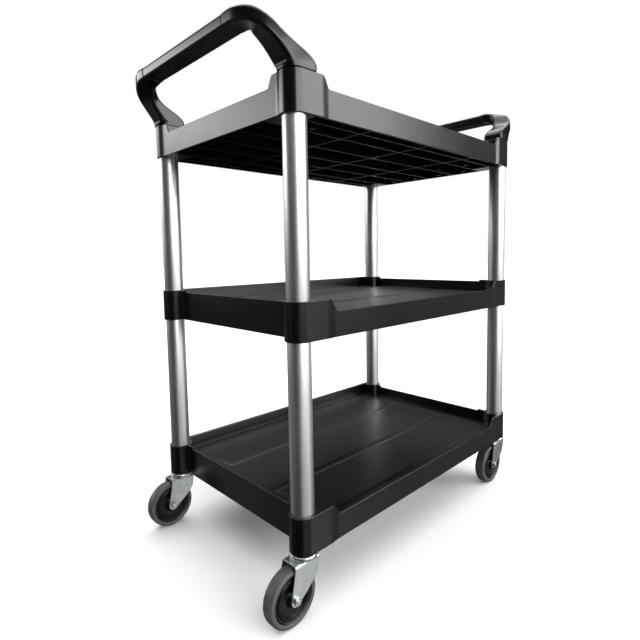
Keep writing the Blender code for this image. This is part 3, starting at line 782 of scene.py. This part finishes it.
def fork(name, centre):
    """A pressed steel fork: a channel with rounded bends, cut to its side view and drilled."""
    channel = [(-FORK_OUTER, LEG_FOOT), (-FORK_INNER, LEG_FOOT), (-FORK_INNER, CROWN_LOW),
               (FORK_INNER, CROWN_LOW), (FORK_INNER, LEG_FOOT), (FORK_OUTER, LEG_FOOT),
               (FORK_OUTER, CROWN_TOP), (-FORK_OUTER, CROWN_TOP)]
    channel = soft_corners(channel, [0, 0, BEND_INNER_R, BEND_INNER_R, 0, 0, BEND_R, BEND_R], 8)
    blank = bmesh.new()
    add_prism(blank, channel, "X", LEG_REAR - 2 * CLEAR, CROWN_FRONT + CLEAR)
    side = bmesh.new()
    add_prism(side, fork_side(), "Y", -TOOL_REACH, TOOL_REACH)
    hole = bmesh.new()
    add_cylinder(hole, (0.0, 0.0), KINGPIN_R + KINGPIN_GAP, CROWN_LOW - PAST, CROWN_TOP + PAST, 32)
    axle = bmesh.new()
    add_cylinder(axle, (0.0, 0.0), AXLE_R + GAP, -TOOL_REACH, TOOL_REACH, 32)
    bmesh.ops.rotate(axle, cent=(0, 0, 0), matrix=Matrix.Rotation(math.pi / 2, 3, "X"), verts=axle.verts)
    bmesh.ops.translate(axle, vec=(-TRAIL, 0.0, WHEEL_R), verts=axle.verts)
    item = carved(name, blank, [("INTERSECT", side), ("DIFFERENCE", hole), ("DIFFERENCE", axle)])
    item.data.transform(Matrix.Translation(centre))
    soften(item, FORK_EDGE, 2, 40)
    smooth(item, 60)
    return item


def round_tool(profile, segments):
    """A solid of revolution round Y for cutting, from (radius, y) points."""
    bm = bmesh.new()
    rings = []
    for radius, y in profile:
        circle = arc((0.0, 0.0), radius, 0, 360 - 360 / segments, segments - 1)
        rings.append([bm.verts.new((u, y, v)) for u, v in circle])
    for one, two in zip(rings, rings[1:]):
        for k in range(segments):
            j = (k + 1) % segments
            bm.faces.new((one[k], one[j], two[j], two[k]))
    bm.faces.new(rings[0])
    bm.faces.new(rings[-1])
    return bm


def hexagon_nut(name, low, high, centre):
    """A chamfered hexagon nut across Y, bored for the axle bolt."""
    bm = bmesh.new()
    add_prism(bm, arc((0.0, 0.0), NUT_ACROSS / math.sqrt(3), 0, 300, 5), "Y", low, high)
    flat = NUT_ACROSS / 2
    wide = flat + NUT_CHAMFER
    chamfer = [(flat, low), (wide, low + NUT_CHAMFER), (wide, high - NUT_CHAMFER), (flat, high)]
    bore = [(AXLE_R + GAP, low - PAST), (AXLE_R + GAP, high + PAST)]
    item = carved(name, bm, [("INTERSECT", round_tool(chamfer, 48)), ("DIFFERENCE", round_tool(bore, 48))])
    item.data.transform(Matrix.Translation(centre))
    smooth(item, 25)
    return item


def wheel_profiles():
    """Profiles of the wheel centre and its tyre, (radius, height) across the wheel."""
    rim = TYRE_INNER_R - GAP
    side = [(HUB_BORE_R, HUB_HALF), (0.0118, HUB_HALF), (0.0138, 0.0090), (0.0150, 0.0078),
            (0.0280, 0.0078), (0.0300, 0.0112), (0.0325, 0.0112), (0.0345, 0.0088), (0.0375, 0.0088),
            (rim, 0.0104)]
    hub = side + [(r, -y) for r, y in reversed(side)]
    radii = [0.0006] + [0.0010] * (len(side) - 2) + [0.0004]
    hub = soft_corners(hub, radii + radii[::-1], 3)
    side = [(TYRE_INNER_R, 0.0112), (0.0415, 0.0120), (0.0440, TYRE_HALF), (0.0468, 0.0117),
            (0.0488, 0.0092), (WHEEL_R, 0.0050)]
    tyre = side + [(r, -y) for r, y in reversed(side)]
    radii = [0.0005, 0.0008, 0.0030, 0.0030, 0.0030, 0.0060]
    tyre = soft_corners(tyre, radii + radii[::-1], 4)
    return hub, tyre


def kingpin(corner_name, centre, mat):
    """The riveted kingpin that the swivel hangs from, fixed in the shelf's corner block."""
    node = "caster_stem_" + corner_name
    low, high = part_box(node)
    head_top = CROWN_LOW - KINGPIN_GAP
    profile = [(0.0, low.z), (KINGPIN_HEAD_R * 0.55, low.z), (KINGPIN_HEAD_R, head_top - KINGPIN_HEAD_RIM),
               (KINGPIN_HEAD_R, head_top), (KINGPIN_R, head_top), (KINGPIN_R, high.z), (0.0, high.z)]
    profile = soft_corners(profile, [0, 0.002, 0.001, 0.0003, 0, 0.0006, 0], 3, False)
    stand_in(turned(node + "_pin", profile, 40, centre), node, "cart", mat)


def race_cup(corner_name, centre, mat):
    """The pressed cup over the swivel's balls, fixed under the corner block."""
    node = "swivel_race_cup_" + corner_name
    low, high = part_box(node)
    inner = CUP_R - CUP_SHEET
    roof = high.z - CUP_SHEET
    profile = [(CUP_R, low.z), (CUP_R, high.z), (KINGPIN_R + GAP, high.z), (KINGPIN_R + GAP, roof),
               (inner, roof), (inner, low.z)]
    profile = soft_corners(profile, [0.0007, 0.0030, 0, 0, 0.0012, 0.0007], 5)
    stand_in(turned(node + "_pressing", profile, 64, centre), node, "cart", mat)


def axle_bolt(corner_name, axle, mat):
    """The bolt through the fork, its head on the +Y side and its end on the -Y side, with the nut."""
    node = "axle_bolt_" + corner_name
    face = FORK_OUTER + GAP
    end = face + BOLT_REACH
    head = -face - BOLT_HEAD
    profile = [(0.0, head), (BOLT_HEAD_R * 0.62, head), (BOLT_HEAD_R, -face - BOLT_HEAD_RIM),
               (BOLT_HEAD_R, -face), (AXLE_R, -face), (AXLE_R, end), (0.0, end)]
    profile = soft_corners(profile, [0, 0.0016, 0.0010, 0.0003, 0, 0.0007, 0], 3, False)
    item = turned(node + "_turned", profile, 40, axle, across=True)
    stand_in(item, node, "swivel_" + corner_name, mat)


def caster(corner_name, corner, mats):
    """One swivel caster: kingpin and race cup on the cart, swivelling fork, and wheel."""
    swivel = "swivel_" + corner_name
    wheel = "wheel_" + corner_name
    centre = (corner[0] * POST_X, corner[1] * POST_Y, 0.0)
    axle = (centre[0] - TRAIL, centre[1], WHEEL_R)
    kingpin(corner_name, centre, mats["zinc"])
    race_cup(corner_name, centre, mats["zinc"])
    item = fork("caster_fork_" + corner_name + "_pressing", centre)
    stand_in(item, "caster_fork_" + corner_name, swivel, mats["zinc"])
    axle_bolt(corner_name, axle, mats["zinc"])
    nut_face = -FORK_OUTER - GAP
    item = hexagon_nut("axle_nut_" + corner_name + "_hexagon", nut_face - NUT_THICK, nut_face, axle)
    stand_in(item, "axle_nut_" + corner_name, swivel, mats["zinc"])
    hub, tyre = wheel_profiles()
    item = turned("wheel_hub_" + corner_name + "_moulding", hub, 96, axle, across=True)
    stand_in(item, "wheel_hub_" + corner_name, wheel, mats["hub"])
    item = turned("tyre_" + corner_name + "_ring", tyre, 128, axle, across=True)
    stand_in(item, "tyre_" + corner_name, wheel, mats["tyre"])


def carried_nodes(mats):
    """Give every CAD node that still shows a procedural finish for its slot."""
    for name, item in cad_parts.items():
        if item.hide_render:
            continue
        mat = mats["steel"] if name.startswith(("axle_sleeve", "swivel_ball_ring")) else mats["zinc"]
        for slot in item.material_slots:
            slot.material = mat


# ---------------------------------------------------------------- studio

CAMERA_AT = (-0.8467, -0.7832, 0.6109)
CAMERA_YAW = math.radians(45.844)
CAMERA_PITCH = math.radians(-4.715)
CAMERA_ROLL = math.radians(-0.972)
CAMERA_LENS = 26.43
CAMERA_SHIFT = (-0.0037, -0.0408)


def camera():
    """The camera, standing near the cart's rear right corner at about middle-shelf height."""
    data = bpy.data.cameras.new("camera")
    item = bpy.data.objects.new("camera", data)
    bpy.context.scene.collection.objects.link(item)
    data.lens = CAMERA_LENS
    data.sensor_width = 36.0
    data.shift_x, data.shift_y = CAMERA_SHIFT
    data.clip_start = 0.02
    flat = math.cos(CAMERA_PITCH)
    forward = Vector((math.cos(CAMERA_YAW) * flat, math.sin(CAMERA_YAW) * flat, math.sin(CAMERA_PITCH)))
    level = Vector((math.sin(CAMERA_YAW), -math.cos(CAMERA_YAW), 0.0))
    above = level.cross(forward)
    right = level * math.cos(CAMERA_ROLL) + above * math.sin(CAMERA_ROLL)
    up = right.cross(forward)
    turn = Matrix((right, up, -forward)).transposed()
    item.matrix_world = Matrix.Translation(CAMERA_AT) @ turn.to_4x4()
    bpy.context.scene.camera = item


# Softboxes, and the lit floor as the cart's faces mirror it, as the directions they fill: azimuth
# range, elevation range, width of the soft edge, all in degrees, and brightness.
LIGHTS = (
    (98, 141, 11, 21, 7, 5.1),
    (-113, -36, 1, 34, 4, 6.1),
    (-180, 180, 48, 95, 14, 2.05),
    (-40, 110, 38, 62, 10, 1.75),
    (32, 100, 2, 12, 8, 0.90),
    (96, 142, -2, 9, 6, 0.60),
    (-130, -58, -60, -3, 6, 0.35),
    (-58, -46, -60, -3, 5, 0.95),
    (-46, -22, -60, -3, 6, 0.22),
    (92, 130, -60, -10, 6, 0.15),
    (-15, 50, -13, -2, 3, 0.50),
    (150, 174, -30, 3, 8, 0.12),
)
AMBIENT = 0.03                  # brightness of the room between the lights
BELOW = 0.02                    # the same below the horizon
HORIZON = 8                     # half the height of the blend between the two, in degrees


def soft_step(tree, value, start, end):
    """A smooth rise from 0 to 1 between two angles."""
    item = add_node(tree, "ShaderNodeMapRange", {"Value": value, "From Min": math.radians(start),
                                                 "From Max": math.radians(end)})
    item.interpolation_type = "SMOOTHSTEP"
    return item.outputs["Result"]


def window(tree, value, low, high, edge):
    """1 between two angles and 0 outside them, with soft edges."""
    rise = soft_step(tree, value, low - edge / 2, low + edge / 2)
    fall = soft_step(tree, value, high + edge / 2, high - edge / 2)
    return calc(tree, "MULTIPLY", rise, fall)


def studio_world():
    """White to the camera; to everything else, soft boxes round a dim room."""
    world = bpy.data.worlds.new("studio")
    bpy.context.scene.world = world
    world.use_nodes = True
    tree = world.node_tree
    tree.nodes.clear()
    direction = add_node(tree, "ShaderNodeTexCoord").outputs["Generated"]
    parts = add_node(tree, "ShaderNodeSeparateXYZ", {0: direction})
    azimuth = calc(tree, "ARCTAN2", parts.outputs["Y"], parts.outputs["X"])
    elevation = calc(tree, "ARCSINE", parts.outputs["Z"])

    total = remap(tree, elevation, -math.radians(HORIZON), math.radians(HORIZON), BELOW, AMBIENT)
    for left, right, low, high, edge, strength in LIGHTS:
        mask = window(tree, elevation, low, high, edge)
        if right - left < 360:
            mask = calc(tree, "MULTIPLY", mask, window(tree, azimuth, left, right, edge))
        total = calc(tree, "ADD", total, calc(tree, "MULTIPLY", mask, strength))
    light = add_node(tree, "ShaderNodeBackground", {"Color": (1.0, 1.0, 0.985, 1.0), "Strength": total})
    white = add_node(tree, "ShaderNodeBackground", {"Color": (1.0, 1.0, 1.0, 1.0), "Strength": 1.0})
    seen = add_node(tree, "ShaderNodeLightPath").outputs["Is Camera Ray"]
    mixed = add_node(tree, "ShaderNodeMixShader", {0: seen, 1: light.outputs[0], 2: white.outputs[0]})
    add_node(tree, "ShaderNodeOutputWorld", {"Surface": mixed.outputs[0]})


def floor_material():
    """Pale studio floor with a faint paper tooth."""
    mat, tree, shader, coords = blank_material("studio floor")
    tooth = noise(tree, coords, 400.0)
    tone = mix_colour(tree, tooth, (0.94, 0.94, 0.937), (0.96, 0.96, 0.957))
    tree.links.new(tone, shader.inputs["Base Color"])
    shader.inputs["Roughness"].default_value = 0.9
    shader.inputs["Specular IOR Level"].default_value = 0.1
    tree.links.new(bump(tree, tooth, 0.1, 0.0002), shader.inputs["Normal"])
    return mat


def floor():
    """A wide floor, kept out of reflections because the world holds its mirror image."""
    bm = bmesh.new()
    bmesh.ops.create_circle(bm, cap_ends=True, segments=96, radius=30.0)
    item = place("floor", mesh_of(bm, "floor"), [floor_material()])
    item.visible_glossy = False


# ---------------------------------------------------------------- build

def build():
    """Dress the whole cart and set up the studio."""
    camera()
    black = moulded_plastic("black moulded plastic", (0.0014, 0.0014, 0.0015), (0.0024, 0.0024, 0.0025),
                            0.20, 0.24, coarser=0.14)
    grip = moulded_plastic("handle plastic", (0.0012, 0.0012, 0.0013), (0.0020, 0.0020, 0.0021),
                           0.20, 0.24, shine=0.42)
    hub = moulded_plastic("wheel centre plastic", (0.0012, 0.0012, 0.0012), (0.0024, 0.0024, 0.0024),
                          0.30, 0.36, shine=0.28)
    aluminium = drawn_aluminium("satin aluminium")
    mats = {"zinc": plated_steel("zinc plated steel", (0.56, 0.60, 0.585), (0.70, 0.74, 0.725), 0.24, 0.34),
            "steel": plated_steel("bright steel", (0.60, 0.60, 0.60), (0.72, 0.72, 0.72), 0.20, 0.28),
            "hub": hub, "tyre": grey_rubber("grey rubber")}
    lower_shelf("bottom", black)
    lower_shelf("middle", black)
    top_shelf(black)
    uprights(aluminium)
    handles(grip)
    for corner_name, corner in CORNERS.items():
        caster(corner_name, corner, mats)
    carried_nodes(mats)
    floor()
    studio_world()
    bpy.context.scene.view_settings.view_transform = "Standard"


build()
